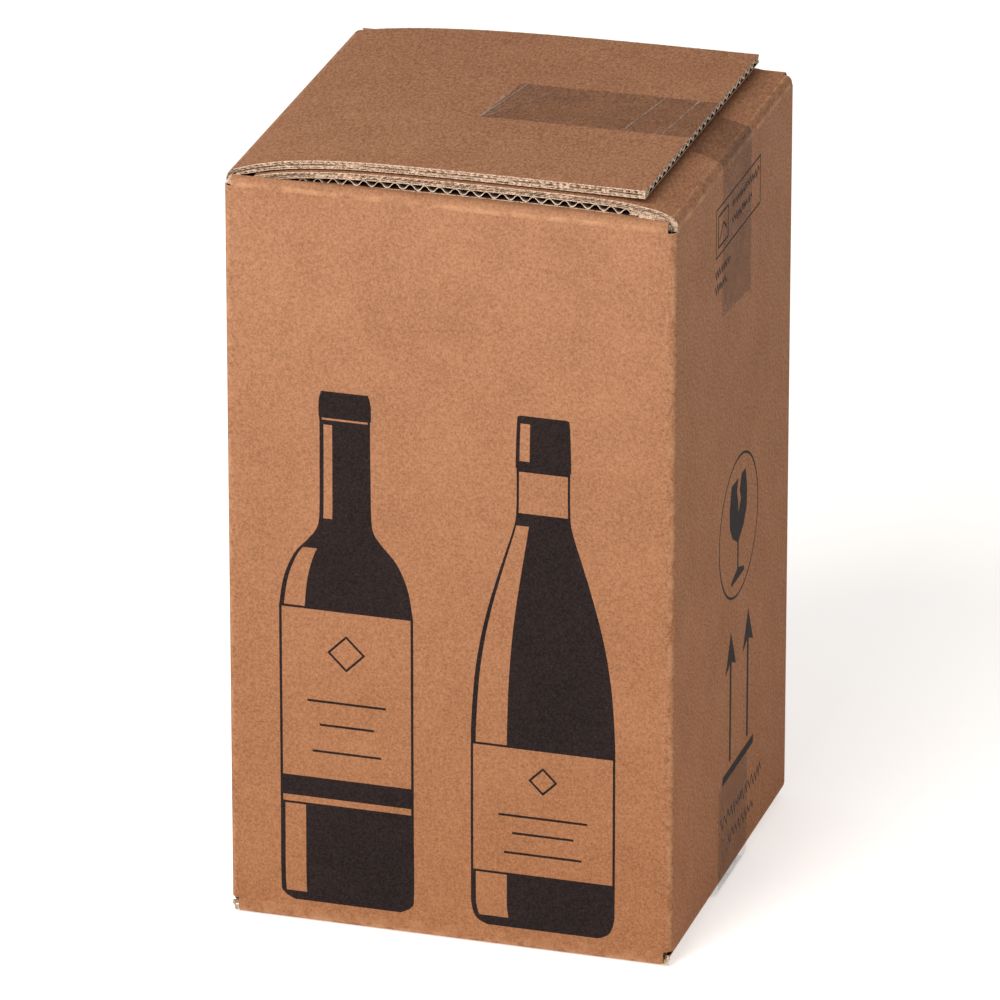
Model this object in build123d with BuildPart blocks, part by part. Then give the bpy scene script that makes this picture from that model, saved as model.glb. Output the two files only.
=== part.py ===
from build123d import *
import math
import os

# Shipping box for four bottles: one folded and taped blank of corrugated board,
# with an interlocking divider inside.
# Frame: millimetres, +Z up, origin on the floor at the centre of the box,
# front panel at -Y, right panel at +X.

os.makedirs("parts", exist_ok=True)

# ---- driving dimensions -------------------------------------------------------
outer_width = 220.0        # X, outside of the left panel to outside of the right panel
outer_depth = 208.0        # Y, outside of the front panel to outside of the back panel
crease_height = 380.0      # floor to the top of the front fold
board = 4.0                # thickness of the corrugated board
layer_gap = 0.3            # air left between two flaps that lie on each other
edge_radius = 4.0          # outside radius of the upright folds
fold_radius = 3.0          # outside radius of the level folds
notch_height = 5.0         # depth of the corner slots below the top folds
slot_width = 4.0           # corner slot beside a fold, measured from the outside
back_rise = 1.0            # the back fold stands this much over the front fold

inner_flap_inset = 12.0      # side of an inner top flap to the outside of the box
outer_flap_setback = 4.8     # side of an outer top flap to the outside of the box
inner_edge_setback = 6.0     # free edge of the back flap to the front of the box
front_flap_clearance = 6.0   # free edge of the front flap to the back of the box
right_flap_clearance = 14.0  # free edge of the right flap to the outside of the left panel
left_flap_clearance = 16.5   # free edge of the left flap to the outside of the right panel
bottom_seam = 1.5            # gap between two bottom flaps that meet

left_reach_front = 28.0    # how gently the left flap climbs from its fold, at the front
left_reach_back = 48.0     # and at the back
right_reach_front = 12.0   # the same for the right flap
right_reach_back = 30.0
outer_fold_run = 3.0       # an outer flap's upper face follows the stack from here on
inner_fold_run = 9.0       # and its lower face from here on

flute_pitch = 7.5          # one wave of the corrugated medium
liner = 0.5                # solid face above and below the flutes
medium = 0.45              # thickness of the wave, measured level
flute_depth = 6.0          # how deep the flutes are open in a free edge
flute_margin = 3.0         # closed board left at both ends of a free edge

glue_tab_width = 32.0      # manufacturer's joint, inside the back panel
glue_tab_inset = 14.0      # it ends this far from the ends of the panels
glue_tab_taper = 6.0       # and narrows this much towards its free side

tape_width = 50.0
tape_thickness = 0.12
tape_gap = 0.1             # adhesive under the tape
top_tape_centre = 2.0      # Y of the middle of the top tape
top_tape_start = -7.0      # X of the end that lies on the left flap
top_tape_slant = 6.0       # that end is torn this much out of square
top_tape_drop = 80.0       # length that hangs down the right panel
bottom_tape_centre = 4.0   # Y of the middle of the bottom tape
bottom_tape_rise = 58.0    # height it reaches on the left and right panels

divider_board = 3.0        # thinner board of the divider
divider_clearance = 0.5    # divider to the walls
divider_slot_play = 0.25   # each side of a sheet in its slot
divider_headroom = 20.0    # top of the divider to the front fold

# ---- values worked out from them -----------------------------------------------
half_width = outer_width / 2
half_depth = outer_depth / 2
inner_half_width = half_width - board
inner_half_depth = half_depth - board
layer_pitch = board + layer_gap
floor_top = board + layer_pitch
wall_top = crease_height - notch_height
front_edge = -half_depth + inner_edge_setback
back_fold = half_depth - fold_radius
inner_start = -half_width + inner_flap_inset
inner_end = half_width - inner_flap_inset
front_flap_end = half_depth - front_flap_clearance
right_flap_end = -half_width + right_flap_clearance
left_flap_end = half_width - left_flap_clearance
outer_flap_side = half_depth - outer_flap_setback
cross_fold_length = outer_width - 2 * slot_width


# ---- shape of the closed top ----------------------------------------------------
def blend_along_depth(front_value, back_value, y):
    """A value that changes evenly from the front free edge to the back fold."""
    share = (y - front_edge) / (back_fold - front_edge)
    return front_value + (back_value - front_value) * share


def level(layer, y):
    """Height of a flap over the front fold: 0 front, 1 back, 2 right, 3 left flap."""
    front_value = layer * layer_pitch
    return blend_along_depth(front_value, front_value - layer_pitch + back_rise, y)


def side_sink(layer, distance, reach_front, reach_back, y):
    """How far a flap is held down, at some distance from the panel it folds from."""
    front_value = level(layer, front_edge) * math.exp(-distance / reach_front)
    back_value = level(layer, back_fold) * math.exp(-distance / reach_back)
    return blend_along_depth(front_value, back_value, y)


def upper_face(layer, x, y):
    """Z of a top flap's upper face."""
    height = crease_height + level(layer, y)
    height -= side_sink(3, half_width + x, left_reach_front, left_reach_back, y)
    if layer < 3:
        height -= side_sink(2, half_width - x, right_reach_front, right_reach_back, y)
    return height


def stations(start, end, count=18):
    """Places along an outline, closer together at both ends."""
    span = end - start
    return [start + span * (1 - math.cos(math.pi * i / count)) / 2 for i in range(count + 1)]


def outline(layer, start, end, y, drop=0.0):
    return [(x, upper_face(layer, x, y) - drop) for x in stations(start, end)]


def section_between(y, upper, lower):
    """Cross-section at depth y between two lines of (x, z) points."""
    with BuildSketch(Plane.XZ.offset(-y)) as section:
        with BuildLine():
            Spline(*upper)
            Line(upper[-1], lower[-1])
            Spline(*lower)
            Line(lower[0], upper[0])
        make_face()
    return section.sketch


def lying_section(layer, y):
    """Section of an inner flap, which lies between the side folds."""
    upper = outline(layer, inner_start, inner_end, y)
    lower = outline(layer, inner_start, inner_end, y, board)
    return section_between(y, upper, lower)


def folded_section(layer, side, free_edge, y):
    """Section of an outer flap with its fold; side is -1 at the left, 1 at the right."""
    upper = outline(layer, side * (half_width - outer_fold_run), free_edge, y)
    lower = outline(layer, side * (half_width - inner_fold_run), free_edge, y, board)
    fold_start = (side * half_width, crease_height - fold_radius)
    with BuildSketch(Plane.XZ.offset(-y)) as section:
        with BuildLine():
            Line((side * inner_half_width, wall_top), (side * half_width, wall_top))
            Line((side * half_width, wall_top), fold_start)
            TangentArc(fold_start, upper[0], tangent=(0, 1))
            Spline(*upper)
            Line(upper[-1], lower[-1])
            Spline(*lower)
            TangentArc((side * inner_half_width, wall_top), lower[0], tangent=(0, 1))
        make_face()
    return section.sketch


# ---- open flutes in a free edge ---------------------------------------------------
def flute_openings(plane, start, end, lower_face):
    """The cells between the wave and the liners, from start to end along an edge."""
    count = int((end - start - 2 * flute_margin) // flute_pitch)
    first = (start + end - count * flute_pitch) / 2
    with BuildSketch(plane) as openings:
        for i in range(2 * count - 1):
            left = first + i * flute_pitch / 2 + medium
            right = left + flute_pitch - 2 * medium
            base, tip = (liner, board - liner) if i % 2 == 0 else (board - liner, liner)
            middle = (left + right) / 2
            with BuildLine():
                Polyline(
                    (left, lower_face(left) + base),
                    (right, lower_face(right) + base),
                    (middle, lower_face(middle) + tip),
                    close=True,
                )
            make_face()
    return openings.sketch


# ---- carton: one folded blank ----------------------------------------------------
with BuildPart() as carton:
    # four panels: a tube with rounded upright folds
    with BuildSketch(Plane.XY.offset(floor_top)):
        RectangleRounded(outer_width, outer_depth, edge_radius)
        Rectangle(2 * inner_half_width, 2 * inner_half_depth, mode=Mode.SUBTRACT)
    extrude(amount=wall_top - floor_top)

    # glue tab of the manufacturer's joint, inside the back panel by the left panel
    with BuildSketch(Plane.XZ.offset(-inner_half_depth)):
        with BuildLine():
            tab_low = floor_top + glue_tab_inset
            tab_high = wall_top - glue_tab_inset
            Polyline(
                (-inner_half_width, tab_low),
                (-inner_half_width + glue_tab_width, tab_low + glue_tab_taper),
                (-inner_half_width + glue_tab_width, tab_high - glue_tab_taper),
                (-inner_half_width, tab_high),
                close=True,
            )
        make_face()
    extrude(amount=board)

    # folds of the front and back top flaps
    for side, fold_top in ((-1, crease_height), (1, crease_height + back_rise)):
        with BuildSketch(Plane.YZ.offset(-cross_fold_length / 2)):
            with BuildLine():
                Polyline(
                    (side * (half_depth - fold_radius), fold_top),
                    (side * inner_half_depth, fold_top),
                    (side * inner_half_depth, wall_top),
                    (side * half_depth, wall_top),
                    (side * half_depth, fold_top - fold_radius),
                )
                RadiusArc(
                    (side * half_depth, fold_top - fold_radius),
                    (side * (half_depth - fold_radius), fold_top),
                    -side * fold_radius,
                )
            make_face()
        extrude(amount=cross_fold_length)

    # front flap: the lowest, it dips behind its fold and lies under the back flap
    root_upper = [(x, crease_height) for x in stations(inner_start, inner_end)]
    root_lower = [(x, crease_height - board) for x in stations(inner_start, inner_end)]
    front_root = section_between(-half_depth + fold_radius, root_upper, root_lower)
    front_flap_sections = [front_root]
    for y in (front_edge - layer_gap, front_flap_end):
        front_flap_sections.append(lying_section(0, y))
    loft(sections=front_flap_sections, ruled=True)

    # back flap: its free edge with the open flutes faces the front
    loft(sections=[lying_section(1, front_edge), lying_section(1, back_fold)], ruled=True)

    # right flap, then the left flap over it
    for layer, side, free_edge in ((2, 1, right_flap_end), (3, -1, left_flap_end)):
        front_section = folded_section(layer, side, free_edge, -outer_flap_side)
        back_section = folded_section(layer, side, free_edge, outer_flap_side)
        loft(sections=[front_section, back_section], ruled=True)

    # bottom flaps: left and right lie inside, front and back meet under them
    side_fold_length = 2 * (inner_half_depth - layer_gap)
    for side in (-1, 1):
        with BuildSketch(Plane.XZ.offset(-side_fold_length / 2)):
            with BuildLine():
                Polyline(
                    (side * inner_half_width, floor_top - board),
                    (side * bottom_seam / 2, floor_top - board),
                    (side * bottom_seam / 2, floor_top),
                    (side * half_width, floor_top),
                )
                RadiusArc(
                    (side * half_width, floor_top),
                    (side * inner_half_width, floor_top - board),
                    side * board,
                )
            make_face()
        extrude(amount=side_fold_length)
        with BuildSketch(Plane.YZ.offset(-cross_fold_length / 2)):
            with BuildLine():
                Polyline(
                    (side * inner_half_depth, 0),
                    (side * bottom_seam / 2, 0),
                    (side * bottom_seam / 2, board),
                    (side * inner_half_depth, board),
                    (side * inner_half_depth, floor_top),
                    (side * half_depth, floor_top),
                    (side * half_depth, board),
                )
                RadiusArc((side * half_depth, board), (side * inner_half_depth, 0), side * board)
            make_face()
        extrude(amount=cross_fold_length)

    # open flutes in the free edges of the top flaps
    for layer, y, into_board in ((0, front_flap_end, 1), (1, front_edge, -1)):
        cells = flute_openings(
            Plane.XZ.offset(-y),
            inner_start,
            inner_end,
            lambda x: upper_face(layer, x, y) - board,
        )
        extrude(cells, amount=into_board * flute_depth, mode=Mode.SUBTRACT)
    for layer, x, into_board in ((2, right_flap_end, 1), (3, left_flap_end, -1)):
        cells = flute_openings(
            Plane.YZ.offset(x),
            -outer_flap_side,
            outer_flap_side,
            lambda y: upper_face(layer, x, y) - board,
        )
        extrude(cells, amount=into_board * flute_depth, mode=Mode.SUBTRACT)

    # open flutes in the free edges of the bottom flaps
    for side in (-1, 1):
        cells = flute_openings(
            Plane.YZ.offset(side * bottom_seam / 2),
            -side_fold_length / 2,
            side_fold_length / 2,
            lambda y: floor_top - board,
        )
        extrude(cells, amount=side * flute_depth, mode=Mode.SUBTRACT)
        cells = flute_openings(
            Plane.XZ.offset(-side * bottom_seam / 2),
            -cross_fold_length / 2,
            cross_fold_length / 2,
            lambda x: 0.0,
        )
        extrude(cells, amount=-side * flute_depth, mode=Mode.SUBTRACT)

    # recess that keeps the bottom tape flush with the floor
    with BuildSketch(Plane.XY):
        with Locations((0, bottom_tape_centre)):
            Rectangle(outer_width, tape_width + 2 * tape_gap)
    extrude(amount=tape_thickness + tape_gap, mode=Mode.SUBTRACT)
carton.part.label = "carton"
export_step(carton.part, "parts/carton.step")


# ---- tapes --------------------------------------------------------------------
def offset_points(points, distance):
    """The same line of points, moved sideways to the left of its direction."""
    moved = []
    for i, (x, z) in enumerate(points):
        before = points[max(i - 1, 0)]
        after = points[min(i + 1, len(points) - 1)]
        run, rise = after[0] - before[0], after[1] - before[1]
        length = math.hypot(run, rise)
        moved.append((x - rise / length * distance, z + run / length * distance))
    return moved


def tape_section(y, path):
    """A film of the tape's thickness on a line of points, at depth y."""
    under = offset_points(path, tape_gap)
    over = offset_points(path, tape_gap + tape_thickness)
    with BuildSketch(Plane.XZ.offset(-y)) as section:
        with BuildLine():
            Polyline(*under, *reversed(over), close=True)
        make_face()
    return section.sketch


def fold_points(start, end, count=8):
    """Points after start on the arc that meets the upright panel at end."""
    run, drop = end[0] - start[0], start[1] - end[1]
    radius = (run * run + drop * drop) / (2 * run)
    turn = math.asin(drop / radius)
    angles = [turn * (1 - i / count) for i in range(1, count + 1)]
    return [(end[0] - radius * (1 - math.cos(a)), end[1] + radius * math.sin(a)) for a in angles]


def top_tape_path(start, y):
    """Along the left flap, down its edge, along the right flap and down the panel."""
    path = [(x, upper_face(3, x, y)) for x in stations(start, left_flap_end)]
    landing = left_flap_end + board / 2
    span = half_width - outer_fold_run - landing
    on_right_flap = [landing + span * i / 8 for i in range(9)]
    path += [(x, upper_face(2, x, y)) for x in on_right_flap]
    path += fold_points(path[-1], (half_width, crease_height - fold_radius))
    path += [(half_width, crease_height - top_tape_drop)]
    return path


with BuildPart() as top_tape:
    tape_front = top_tape_centre - tape_width / 2
    tape_back = top_tape_centre + tape_width / 2
    loft(
        sections=[
            tape_section(tape_front, top_tape_path(top_tape_start, tape_front)),
            tape_section(tape_back, top_tape_path(top_tape_start + top_tape_slant, tape_back)),
        ],
        ruled=True,
    )
top_tape.part.label = "top_tape"
export_step(top_tape.part, "parts/top_tape.step")

with BuildPart() as bottom_tape:
    tape_corner = half_width + tape_gap + tape_thickness
    with BuildSketch(Plane.XZ.offset(-bottom_tape_centre - tape_width / 2)):
        with BuildLine():
            FilletPolyline(
                (-tape_corner, bottom_tape_rise),
                (-tape_corner, 0),
                (tape_corner, 0),
                (tape_corner, bottom_tape_rise),
                radius=board,
            )
            offset(amount=tape_thickness, side=Side.LEFT)
        make_face()
    extrude(amount=tape_width)
bottom_tape.part.label = "bottom_tape"
export_step(bottom_tape.part, "parts/bottom_tape.step")

# ---- divider: two sheets that slot into each other -------------------------------
divider_top = crease_height - divider_headroom
divider_height = divider_top - floor_top
divider_slot = divider_board + 2 * divider_slot_play
divider_middle = floor_top + divider_height / 2

with BuildPart() as long_divider:
    with BuildSketch(Plane.XZ.offset(-divider_board / 2)):
        with Locations((0, divider_middle)):
            Rectangle(2 * (inner_half_width - divider_clearance), divider_height)
        with Locations((0, divider_top)):
            Rectangle(divider_slot, divider_height + divider_slot_play, mode=Mode.SUBTRACT)
    extrude(amount=divider_board)
long_divider.part.label = "long_divider"
export_step(long_divider.part, "parts/long_divider.step")

with BuildPart() as cross_divider:
    with BuildSketch(Plane.YZ.offset(-divider_board / 2)):
        with Locations((0, divider_middle)):
            Rectangle(2 * (inner_half_depth - divider_clearance), divider_height)
        with Locations((0, floor_top)):
            Rectangle(divider_slot, divider_height + divider_slot_play, mode=Mode.SUBTRACT)
    extrude(amount=divider_board)
cross_divider.part.label = "cross_divider"
export_step(cross_divider.part, "parts/cross_divider.step")
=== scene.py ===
import math
import random

import bmesh
import bpy
import numpy as np
from mathutils import Matrix, Vector, noise
from mathutils.geometry import delaunay_2d_cdt


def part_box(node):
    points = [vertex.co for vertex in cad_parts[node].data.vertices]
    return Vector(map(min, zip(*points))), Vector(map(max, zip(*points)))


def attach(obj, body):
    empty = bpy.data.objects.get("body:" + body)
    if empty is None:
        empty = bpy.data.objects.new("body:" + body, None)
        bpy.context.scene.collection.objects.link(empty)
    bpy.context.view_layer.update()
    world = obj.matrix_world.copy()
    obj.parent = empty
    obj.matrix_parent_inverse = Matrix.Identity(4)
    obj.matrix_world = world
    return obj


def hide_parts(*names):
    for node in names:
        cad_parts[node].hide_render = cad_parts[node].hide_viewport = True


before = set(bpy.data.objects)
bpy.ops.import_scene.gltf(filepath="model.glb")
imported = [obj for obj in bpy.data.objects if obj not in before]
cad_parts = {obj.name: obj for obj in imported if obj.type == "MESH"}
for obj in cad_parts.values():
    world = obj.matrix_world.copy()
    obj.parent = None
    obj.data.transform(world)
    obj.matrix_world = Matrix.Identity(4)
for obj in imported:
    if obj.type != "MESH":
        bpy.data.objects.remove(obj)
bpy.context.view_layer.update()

# Lengths are in millimetres up to the moment a mesh is made.
MM = 0.001
carton_low, carton_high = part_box("carton")

# ---- sizes of the CAD carton ---------------------------------------------------
HALF_WIDTH = carton_high.x / MM
HALF_DEPTH = carton_high.y / MM
CREASE = 380.0
BOARD = 4.0
LAYER_GAP = 0.3
LAYER_PITCH = BOARD + LAYER_GAP
EDGE_RADIUS = 4.0
FOLD_RADIUS = 3.0
BACK_RISE = 1.0
WALL_TOP = CREASE - 5.0
FLOOR_TOP = BOARD + LAYER_PITCH
FRONT_EDGE = -HALF_DEPTH + 6.0
BACK_FOLD = HALF_DEPTH - FOLD_RADIUS
INNER_SIDE = HALF_WIDTH - 12.0
OUTER_SIDE = HALF_DEPTH - 4.8
FRONT_FLAP_END = HALF_DEPTH - 6.0
RIGHT_FLAP_END = -HALF_WIDTH + 14.0
LEFT_FLAP_END = HALF_WIDTH - 16.5
CROSS_FOLD = HALF_WIDTH - 4.0
SIDE_FOLD = HALF_DEPTH - BOARD - LAYER_GAP
BOTTOM_SEAM = 1.5
TAPE_RECESS = 0.24
LEFT_REACH = (28.0, 48.0)
RIGHT_REACH = (12.0, 30.0)
OUTER_RUN = 3.0
INNER_RUN = 9.0

LINER = 0.5
MEDIUM = 0.36
CRUSHED_MEDIUM = 0.95
FLUTE_PITCH = 7.5
HOLLOW_DEPTH = 5.0
FLAP_SHIFT = 0.7
FRONT_CRUSH = 0.9

# The last kind, the void inside the board, is painted shade: near-black faces between the
# liners.
KRAFT_X, KRAFT_Y, INSIDE, EDGE, WAVE, INK, VOID_SHADE = range(7)
UP = np.array((0.0, 0.0, 1.0))
RIGHT_LAYER, LEFT_LAYER = 2, 3


# ---- shape of the closed top ---------------------------------------------------
def blend_along_depth(front_value, back_value, y):
    share = (y - FRONT_EDGE) / (BACK_FOLD - FRONT_EDGE)
    return front_value + (back_value - front_value) * share


def level(layer, y):
    """Height of a flap over the front fold: 0 front, 1 back, 2 right, 3 left flap."""
    front_value = layer * LAYER_PITCH
    return blend_along_depth(front_value, front_value - LAYER_PITCH + BACK_RISE, y)


def side_sink(layer, distance, reach, y):
    front_value = level(layer, FRONT_EDGE) * math.exp(-distance / reach[0])
    back_value = level(layer, BACK_FOLD) * math.exp(-distance / reach[1])
    return blend_along_depth(front_value, back_value, y)


def upper_face(layer, x, y):
    """Z of a top flap's upper face."""
    height = CREASE + level(layer, y)
    height -= side_sink(LEFT_LAYER, HALF_WIDTH + x, LEFT_REACH, y)
    if layer < LEFT_LAYER:
        height -= side_sink(RIGHT_LAYER, HALF_WIDTH - x, RIGHT_REACH, y)
    return height


def spread(start, end, count):
    return [start + (end - start) * i / count for i in range(count + 1)]


def rough(seed, s, size):
    """Smooth noise along an edge, about -1 to 1."""
    return noise.noise(Vector((s / size, seed * 7.31, 0.37)))


# ---- mesh collector ------------------------------------------------------------
class Collector:
    """Points in millimetres and faces with a material and a value of wear and painted shade.
    """

    def __init__(self):
        self.points = []
        self.faces = []
        self.kinds = []
        self.wear_and_shade = []

    def add(self, grid, wear_and_shade=0.0):
        start = len(self.points)
        rows, columns = grid.shape[:2]
        self.points.extend(map(tuple, grid.reshape(-1, 3)))
        worn_and_shaded = np.broadcast_to(np.asarray(wear_and_shade, float), (rows, columns))
        self.wear_and_shade.extend(worn_and_shaded.reshape(-1))
        return start + np.arange(rows * columns).reshape(rows, columns)

    def skin(self, ids, kind):
        for i in range(ids.shape[0] - 1):
            for j in range(ids.shape[1] - 1):
                quad = (ids[i, j], ids[i + 1, j], ids[i + 1, j + 1], ids[i, j + 1])
                self.faces.append(quad)
                self.kinds.append(kind)

    def slab(self, upper, lower, kinds, wear_and_shade=0.0):
        """A closed solid between two grids of the same size."""
        top_kind, under_kind, rim_kind = kinds
        a, b = self.add(upper, wear_and_shade), self.add(lower, wear_and_shade)
        self.skin(a, top_kind)
        self.skin(b, under_kind)
        for first, second in (
            (a[0], b[0]),
            (a[-1], b[-1]),
            (a[:, 0], b[:, 0]),
            (a[:, -1], b[:, -1]),
        ):
            self.skin(np.stack([first, second]), rim_kind)

    def piece(self, name, materials, sharp=35.0):
        mesh = bpy.data.meshes.new(name)
        scaled = [(x * MM, y * MM, z * MM) for x, y, z in self.points]
        mesh.from_pydata(scaled, [], [tuple(map(int, f)) for f in self.faces])
        worn_and_shaded = mesh.attributes.new("wear_and_shade", "FLOAT", "POINT")
        worn_and_shaded.data.foreach_set("value", np.asarray(self.wear_and_shade, np.float32))
        mesh.polygons.foreach_set("material_index", self.kinds)
        for material in materials:
            mesh.materials.append(material)
        shape = bmesh.new()
        shape.from_mesh(mesh)
        bmesh.ops.remove_doubles(shape, verts=shape.verts, dist=0.002 * MM)
        bmesh.ops.recalc_face_normals(shape, faces=shape.faces)
        shape.to_mesh(mesh)
        shape.free()
        mesh.shade_smooth()
        mesh.set_sharp_from_angle(angle=math.radians(sharp))
        made = bpy.data.objects.new(name, mesh)
        bpy.context.scene.collection.objects.link(made)
        return made


def normals(grid, hint):
    """Unit normals of a grid, on the side that hint points to."""
    across = np.cross(np.gradient(grid, axis=0), np.gradient(grid, axis=1))
    across /= np.maximum(np.linalg.norm(across, axis=2, keepdims=True), 1e-9)
    middle = across[across.shape[0] // 2, across.shape[1] // 2]
    return across if np.dot(middle, hint) > 0 else -across


def sheet(into, grid, hint, thickness, kinds, wear_and_shade=0.0):
    """Paper under a grid of points; returns the grid of its other face."""
    under = grid - normals(grid, hint) * thickness
    into.slab(grid, under, kinds, wear_and_shade)
    return under


# ---- corrugated board ----------------------------------------------------------
TOOTH_PITCH = 3.4
TOOTH_CUT, TOOTH_MARK = 2.2, 0.5
SLIT_DEPTH = 2.4
FRAY_DEPTHS = (0.3, 0.5, 0.45)
FLUTE_DEPTHS = (0.0, 0.7, 2.0, 5.0, 9.0)
# Depth in the board at which the painted shade of the flutes is darkest.
SHADE_DEPTH = 3.0


def cut_edge(into, upper, lower, outward, seed):
    """The ragged side of a flap that a toothed knife cut along its flutes."""
    shares = [0.0, 0.1, 0.18, 0.3, 0.44, 0.54, 0.68, 0.78, 0.9, 1.0]
    steps = np.linalg.norm(np.diff(upper, axis=0), axis=1)
    lengths = np.concatenate([[0.0], np.cumsum(steps)])
    rows = []
    for share in shares:
        row = upper * (1 - share) + lower * share
        recess = np.empty(len(row))
        for i, s in enumerate(lengths):
            fray = FRAY_DEPTHS[0] + FRAY_DEPTHS[1] * rough(seed + share, s, 2.1)
            fray += FRAY_DEPTHS[2] * rough(seed + 3 * share, s, 8.0)
            torn = rough(seed + 11, s, 12.0) > -0.2 + 0.3 * rough(seed + 5, s, 3.0)
            slit = 0.5 < share < 0.7 and torn
            turn = 2 * math.pi * s / TOOTH_PITCH + 2.0 * rough(seed + 2, s, 11.0)
            tooth = max(0.0, math.sin(turn)) * (0.75 + 0.6 * rough(seed + 8, s, 5.0))
            cut = (TOOTH_CUT if 0.15 < share < 0.4 else TOOTH_MARK) * tooth
            recess[i] = max(fray, 0.02) + (SLIT_DEPTH if slit else 0.0) + max(cut, 0.0)
        rows.append(row - np.outer(recess, outward))
    face = np.stack(rows)
    back = np.stack([upper * (1 - s) + lower * s - HOLLOW_DEPTH * outward for s in shares])
    into.slab(face, back, (EDGE, VOID_SHADE, EDGE))


def flutes(into, place, start, end, seed, medium=MEDIUM):
    """The wave of the medium where it shows in a free edge.

    place(s, depth) gives the point on the lower liner, and the way up to the upper one.
    """
    count = int((end - start) / FLUTE_PITCH * 14)
    along = spread(start, end, count)
    height = BOARD - 2 * LINER
    swing = (height - medium) / 2
    line = []
    for s in along:
        turn = 2 * math.pi * (s - start) / FLUTE_PITCH + 0.5 * rough(seed, s, 16.0)
        wave = math.sin(turn)
        wave = math.copysign(abs(wave) ** 0.85, wave)
        line.append(height / 2 + swing * wave)
    run = (end - start) / count
    slope = np.gradient(np.array(line), run)
    lift = medium / 2 * np.sqrt(1 + slope ** 2)
    overs, unders = [], []
    for depth in FLUTE_DEPTHS:
        over, under = [], []
        for s, centre, half in zip(along, line, lift):
            fray = 0.25 + 0.22 * rough(seed + 5, s, 1.7) if depth < 1 else 0.0
            foot, way = place(s, depth + fray)
            half = min(half, centre, height - centre)
            over.append(foot + way * (centre + half))
            under.append(foot + way * (centre - half))
        overs.append(over)
        unders.append(under)
    # Painted shade: rows of the wave deeper in the board are painted darker, up to the depth
    # where it is darkest.
    shade = np.array([min(1.0, depth / SHADE_DEPTH) for depth in FLUTE_DEPTHS])[:, None]
    into.slab(np.array(overs), np.array(unders), (WAVE, WAVE, WAVE), shade)


def arc_to_panel(meet, panel, count=6):
    """From the panel up and over to meet, along an arc that leaves the panel upright."""
    run = panel[0] - meet[0]
    drop = meet[1] - panel[1]
    radius = (run * run + drop * drop) / (2 * abs(run))
    turn = math.asin(min(1.0, drop / radius))
    way = math.copysign(1.0, run)
    line = []
    for i in range(count + 1):
        a = turn * i / count
        x = panel[0] - way * radius * (1 - math.cos(a))
        line.append((x, panel[1] + radius * math.sin(a)))
    return line


def graded(start, end, fine, coarse, margin):
    """Places from start to end, closer together within margin of both ends."""
    way = math.copysign(1.0, end - start)
    near = spread(start, start + way * margin, max(1, int(margin / fine)))
    far = spread(end - way * margin, end, max(1, int(margin / fine)))
    middle_length = abs(end - start) - 2 * margin
    middle = spread(near[-1], far[0], max(1, int(middle_length / coarse)))
    return near[:-1] + middle + far[1:]


def pressed(layer, y):
    """How far the right flap sinks near its front cut, where it was crushed."""
    near = math.exp(-max(0.0, y + OUTER_SIDE) / 14.0)
    return (FRONT_CRUSH if layer == RIGHT_LAYER else 0.0) * near


def outer_flap(name, layer, side, free_edge, kind):
    """The left or the right top flap with its fold."""
    made = Collector()
    front = -OUTER_SIDE + (FLAP_SHIFT if layer == LEFT_LAYER else -FLAP_SHIFT)
    depths = graded(front, OUTER_SIDE, 1.0, 8.0, 3.0)
    reach = spread(side * (HALF_WIDTH - OUTER_RUN), free_edge, 300)
    reach_in = spread(side * (HALF_WIDTH - INNER_RUN), free_edge, 300)
    outer, inner = [], []
    for y in depths:
        sink = pressed(layer, y)
        eases = [min(1.0, abs(x - reach[0]) / 12.0) for x in reach]
        tops = [upper_face(layer, x, y) - sink * ease for x, ease in zip(reach, eases)]
        line = [(side * HALF_WIDTH, WALL_TOP)]
        line += arc_to_panel((reach[0], tops[0]), (side * HALF_WIDTH, CREASE - FOLD_RADIUS))
        line += list(zip(reach[1:], tops[1:]))
        outer.append([(x, y, z) for x, z in line])
        end = (reach_in[0], upper_face(layer, reach_in[0], y) - BOARD)
        line = [(side * (HALF_WIDTH - BOARD), WALL_TOP - 0.5)]
        line += arc_to_panel(end, (side * (HALF_WIDTH - BOARD), WALL_TOP))
        line += [(x, upper_face(layer, x, y) - BOARD) for x in reach_in[1:]]
        inner.append([(x, y, z) for x, z in line])
    outer, inner = np.array(outer), np.array(inner)
    fray_sides(outer, layer)
    fray_sides(inner, layer + 20)
    wear_and_shade = np.zeros(outer.shape[1])
    wear_and_shade[:8] = (0.3, 0.85, 0.35, 0.15, 0.15, 0.2, 0.35, 0.8)
    under = sheet(made, outer, UP, LINER, (kind, VOID_SHADE, EDGE), wear_and_shade)
    over = sheet(made, inner, -UP, LINER, (INSIDE, VOID_SHADE, EDGE))
    for row, outward in ((0, (0, -1, 0)), (-1, (0, 1, 0))):
        cut_edge(made, under[row], over[row], np.array(outward, float), layer * 3 + row)
    inward = -1.0 if free_edge > 0 else 1.0

    def place(y, depth):
        x = free_edge + inward * depth
        return np.array((x, y, upper_face(layer, x, y) - BOARD + LINER)), UP

    flutes(made, place, -OUTER_SIDE + 1.6, OUTER_SIDE - 0.6, layer * 5, CRUSHED_MEDIUM)
    return made.piece(name, board_materials)


def fray_sides(grid, seed):
    """Moves both cut sides of a flap by a little noise."""
    for j in range(8, grid.shape[1]):
        for row, way in ((0, -1), (-1, 1)):
            grid[row, j, 1] += way * 0.28 * rough(seed + row, j * 1.3, 3.1)


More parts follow.
